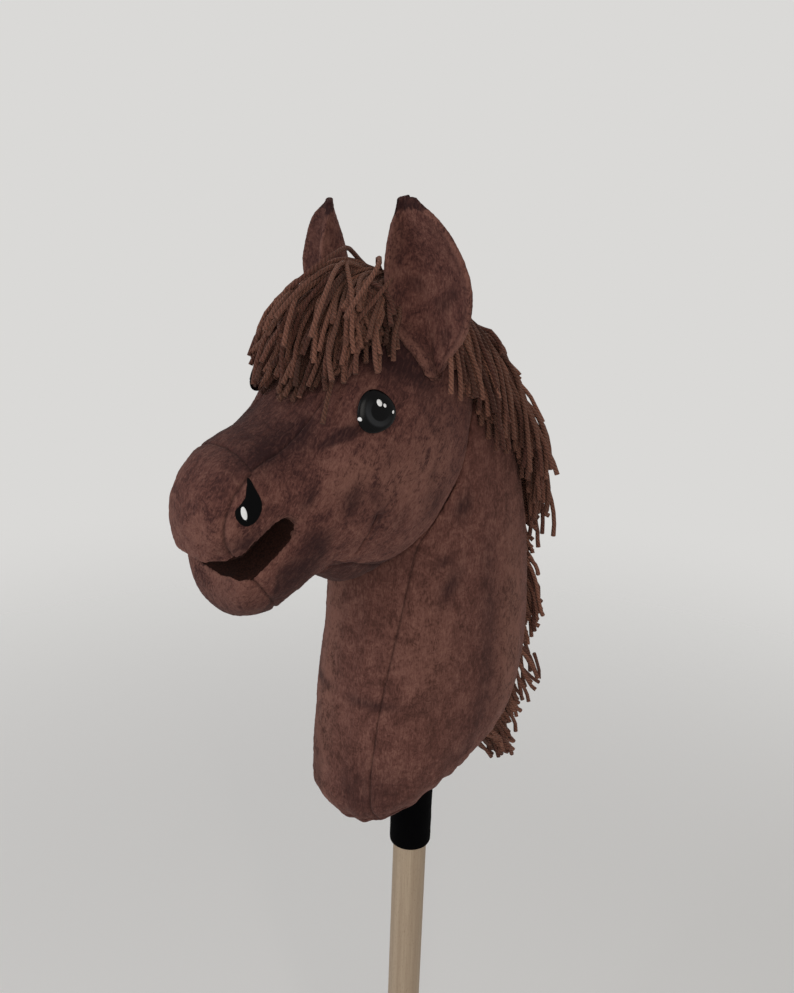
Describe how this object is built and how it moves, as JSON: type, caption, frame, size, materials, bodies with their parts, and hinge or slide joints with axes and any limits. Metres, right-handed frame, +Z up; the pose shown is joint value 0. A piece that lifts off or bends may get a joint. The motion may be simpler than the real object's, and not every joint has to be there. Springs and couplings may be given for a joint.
{
  "type": "hobby horse",
  "caption": "Stuffed plush horse head with a yarn mane, leaf-shaped ears and an open mouth, pushed onto a round wooden stick.",
  "frame": {"origin": "centre of the stick's foot", "axes": "+Z up along the stick, the horse looks along -Y, its left side is +X"},
  "size_m": [0.1674, 0.309, 0.9216],
  "materials": {
    "wood": "bare sanded",
    "cuff": "matt felted",
    "plush": "short brushed pile",
    "lining": "matt",
    "filling": "matt fibre",
    "yarn": "twisted yarn",
    "eye": "gloss",
    "nostril": "satin film"
  },
  "bodies": {
    "stick": {"stick": "wood"},
    "horse": {"neck_stuffing": "filling", "left_neck_panel": "plush", "right_neck_panel": "plush", "neck_front_gusset": "plush", "neck_base_panel": "plush", "stick_pocket": "lining", "stick_cuff": "cuff", "head_stuffing": "filling", "left_cheek_panel": "plush", "right_cheek_panel": "plush", "forehead_gusset": "plush", "muzzle_panel": "plush", "lower_lip_panel": "plush", "throat_gusset": "plush", "mouth_lining": "lining", "left_ear_back": "plush", "left_ear_lining": "plush", "right_ear_back": "plush", "right_ear_lining": "plush", "left_eye": "eye", "right_eye": "eye", "left_nostril": "nostril", "right_nostril": "nostril", "mane_tuft_1": "yarn", "mane_tuft_2": "yarn", "mane_tuft_3": "yarn", "mane_tuft_4": "yarn", "mane_tuft_5": "yarn", "mane_tuft_6": "yarn", "forelock": "yarn"}
  },
  "joints": [
    {"name": "head_draw_off", "type": "slide", "parent": "stick", "child": "horse", "axis": [0, 0, 1], "range_m": [0, 0.3]}
  ]
}
